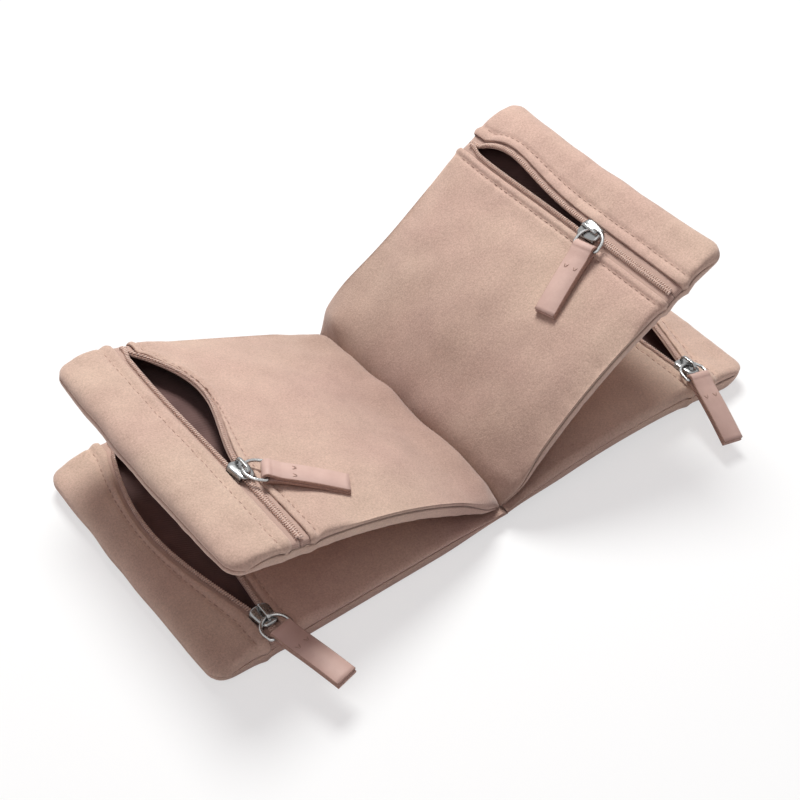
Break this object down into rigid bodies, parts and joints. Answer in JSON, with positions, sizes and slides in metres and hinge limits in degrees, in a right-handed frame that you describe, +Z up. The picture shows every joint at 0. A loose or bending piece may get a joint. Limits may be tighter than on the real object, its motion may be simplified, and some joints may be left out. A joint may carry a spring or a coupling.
{
  "type": "jewelry roll",
  "caption": "Soft suede jewelry roll: padded zip pouches sewn to one spine and opening like pages, each with a metal slider, D-ring and folded leather pull.",
  "frame": {"origin": "middle of the spine seam, on the table it stands on", "axes": "+Z up; +X across the opened roll towards the right-hand pouches; +Y along the spine towards the back, the way the zips are pulled shut"},
  "size_m": [0.2469, 0.1459, 0.0824],
  "materials": {
    "suede": "dusty pink suede-like cloth, matt, short nap",
    "lining_cloth": "dark mauve-brown lining, matt",
    "zip_tape": "woven tape, matt",
    "zip_coil": "moulded nylon coil, slightly glossy",
    "slider_metal": "polished plated zinc",
    "ring_metal": "polished plated wire",
    "pull_leather": "smooth leather with cut edges"
  },
  "bodies": {
    "lower_left": {"spine_seam": "suede", "lower_left_front_panel": "suede", "lower_left_end_band": "suede", "lower_left_back_panel": "suede", "lower_left_lining": "lining_cloth", "lower_left_spine_fold": "suede", "lower_left_zip_tape_inner": "zip_tape", "lower_left_zip_coil_inner": "zip_coil", "lower_left_zip_tape_outer": "zip_tape", "lower_left_zip_coil_outer": "zip_coil"},
    "lower_right": {"lower_right_front_panel": "suede", "lower_right_end_band": "suede", "lower_right_back_panel": "suede", "lower_right_lining": "lining_cloth", "lower_right_spine_fold": "suede", "lower_right_zip_tape_inner": "zip_tape", "lower_right_zip_coil_inner": "zip_coil", "lower_right_zip_tape_outer": "zip_tape", "lower_right_zip_coil_outer": "zip_coil"},
    "upper_left": {"upper_left_front_panel": "suede", "upper_left_end_band": "suede", "upper_left_back_panel": "suede", "upper_left_lining": "lining_cloth", "upper_left_spine_fold": "suede", "upper_left_zip_tape_inner": "zip_tape", "upper_left_zip_coil_inner": "zip_coil", "upper_left_zip_tape_outer": "zip_tape", "upper_left_zip_coil_outer": "zip_coil"},
    "upper_right": {"upper_right_front_panel": "suede", "upper_right_end_band": "suede", "upper_right_back_panel": "suede", "upper_right_lining": "lining_cloth", "upper_right_spine_fold": "suede", "upper_right_zip_tape_inner": "zip_tape", "upper_right_zip_coil_inner": "zip_coil", "upper_right_zip_tape_outer": "zip_tape", "upper_right_zip_coil_outer": "zip_coil"},
    "lower_left_slider": {"lower_left_slider": "slider_metal"},
    "lower_left_pull_ring": {"lower_left_pull_ring": "ring_metal"},
    "lower_left_pull_tab": {"lower_left_pull_tab": "pull_leather"},
    "lower_right_slider": {"lower_right_slider": "slider_metal"},
    "lower_right_pull_ring": {"lower_right_pull_ring": "ring_metal"},
    "lower_right_pull_tab": {"lower_right_pull_tab": "pull_leather"},
    "upper_left_slider": {"upper_left_slider": "slider_metal"},
    "upper_left_pull_ring": {"upper_left_pull_ring": "ring_metal"},
    "upper_left_pull_tab": {"upper_left_pull_tab": "pull_leather"},
    "upper_right_slider": {"upper_right_slider": "slider_metal"},
    "upper_right_pull_ring": {"upper_right_pull_ring": "ring_metal"},
    "upper_right_pull_tab": {"upper_right_pull_tab": "pull_leather"}
  },
  "joints": [
    {"name": "roll_fold", "type": "hinge", "parent": "lower_left", "child": "lower_right", "pos_m": [0, 0, 0.0057], "axis": [0, 1, 0], "range_deg": [-79, 165], "deforming": ["lower_right_spine_fold"]},
    {"name": "upper_left_page", "type": "hinge", "parent": "lower_left", "child": "upper_left", "pos_m": [0, 0, 0.0057], "axis": [0, 1, 0], "range_deg": [-10, 79], "deforming": ["upper_left_spine_fold"]},
    {"name": "upper_right_page", "type": "hinge", "parent": "lower_right", "child": "upper_right", "pos_m": [0, 0, 0.0057], "axis": [0, -1, 0], "range_deg": [-17.5, 79], "deforming": ["upper_right_spine_fold"]},
    {"name": "lower_left_zip", "type": "slide", "parent": "lower_left", "child": "lower_left_slider", "axis": [0, 1, 0], "range_m": [0, 0.0975], "deforming": ["lower_left_zip_tape_inner", "lower_left_zip_coil_inner", "lower_left_zip_tape_outer", "lower_left_zip_coil_outer"]},
    {"name": "lower_left_ring", "type": "hinge", "parent": "lower_left_slider", "child": "lower_left_pull_ring", "pos_m": [-0.098, -0.05095, 0.0143], "axis": [-1, 0, 0], "range_deg": [0, 60]},
    {"name": "lower_left_tab", "type": "hinge", "parent": "lower_left_pull_ring", "child": "lower_left_pull_tab", "pos_m": [-0.09733, -0.05907, 0.0143], "axis": [-0.9744, -0.225, 0], "range_deg": [0, 50]},
    {"name": "lower_right_zip", "type": "slide", "parent": "lower_right", "child": "lower_right_slider", "axis": [0, 1, 0], "range_m": [0, 0.0975], "deforming": ["lower_right_zip_tape_inner", "lower_right_zip_coil_inner", "lower_right_zip_tape_outer", "lower_right_zip_coil_outer", "lower_right_pull_tab"]},
    {"name": "lower_right_ring", "type": "hinge", "parent": "lower_right_slider", "child": "lower_right_pull_ring", "pos_m": [0.09872, -0.04875, 0.01712], "axis": [-0.9288, 0.342, 0.1425], "range_deg": [0, 125]},
    {"name": "lower_right_tab", "type": "hinge", "parent": "lower_right_pull_ring", "child": "lower_right_pull_tab", "pos_m": [0.0964, -0.05657, 0.01676], "axis": [-0.9785, 0.1571, 0.1333], "range_deg": [0, 50]},
    {"name": "upper_left_zip", "type": "slide", "parent": "upper_left", "child": "upper_left_slider", "axis": [0, 1, 0], "range_m": [-0.02633, 0.07118], "deforming": ["upper_left_zip_tape_inner", "upper_left_zip_coil_inner", "upper_left_zip_tape_outer", "upper_left_zip_coil_outer"]},
    {"name": "upper_left_ring", "type": "hinge", "parent": "upper_left_slider", "child": "upper_left_pull_ring", "pos_m": [-0.08585, -0.02243, 0.05559], "axis": [-0.6664, -0.7193, 0.1962], "range_deg": [0, 125]},
    {"name": "upper_left_tab", "type": "hinge", "parent": "upper_left_pull_ring", "child": "upper_left_pull_tab", "pos_m": [-0.07983, -0.02763, 0.05382], "axis": [-0.5083, -0.848, 0.1497], "range_deg": [0, 50]},
    {"name": "upper_right_zip", "type": "slide", "parent": "upper_right", "child": "upper_right_slider", "axis": [0, 1, 0], "range_m": [-0.03315, 0.06435], "deforming": ["upper_right_zip_tape_inner", "upper_right_zip_coil_inner", "upper_right_zip_tape_outer", "upper_right_zip_coil_outer"]},
    {"name": "upper_right_ring", "type": "hinge", "parent": "upper_right_slider", "child": "upper_right_pull_ring", "pos_m": [0.07083, -0.0156, 0.07538], "axis": [-0.6035, 0.7193, -0.344], "range_deg": [0, 125]},
    {"name": "upper_right_tab", "type": "hinge", "parent": "upper_right_pull_ring", "child": "upper_right_pull_tab", "pos_m": [0.06503, -0.01984, 0.07207], "axis": [-0.1806, 0.9781, -0.103], "range_deg": [0, 50]}
  ]
}
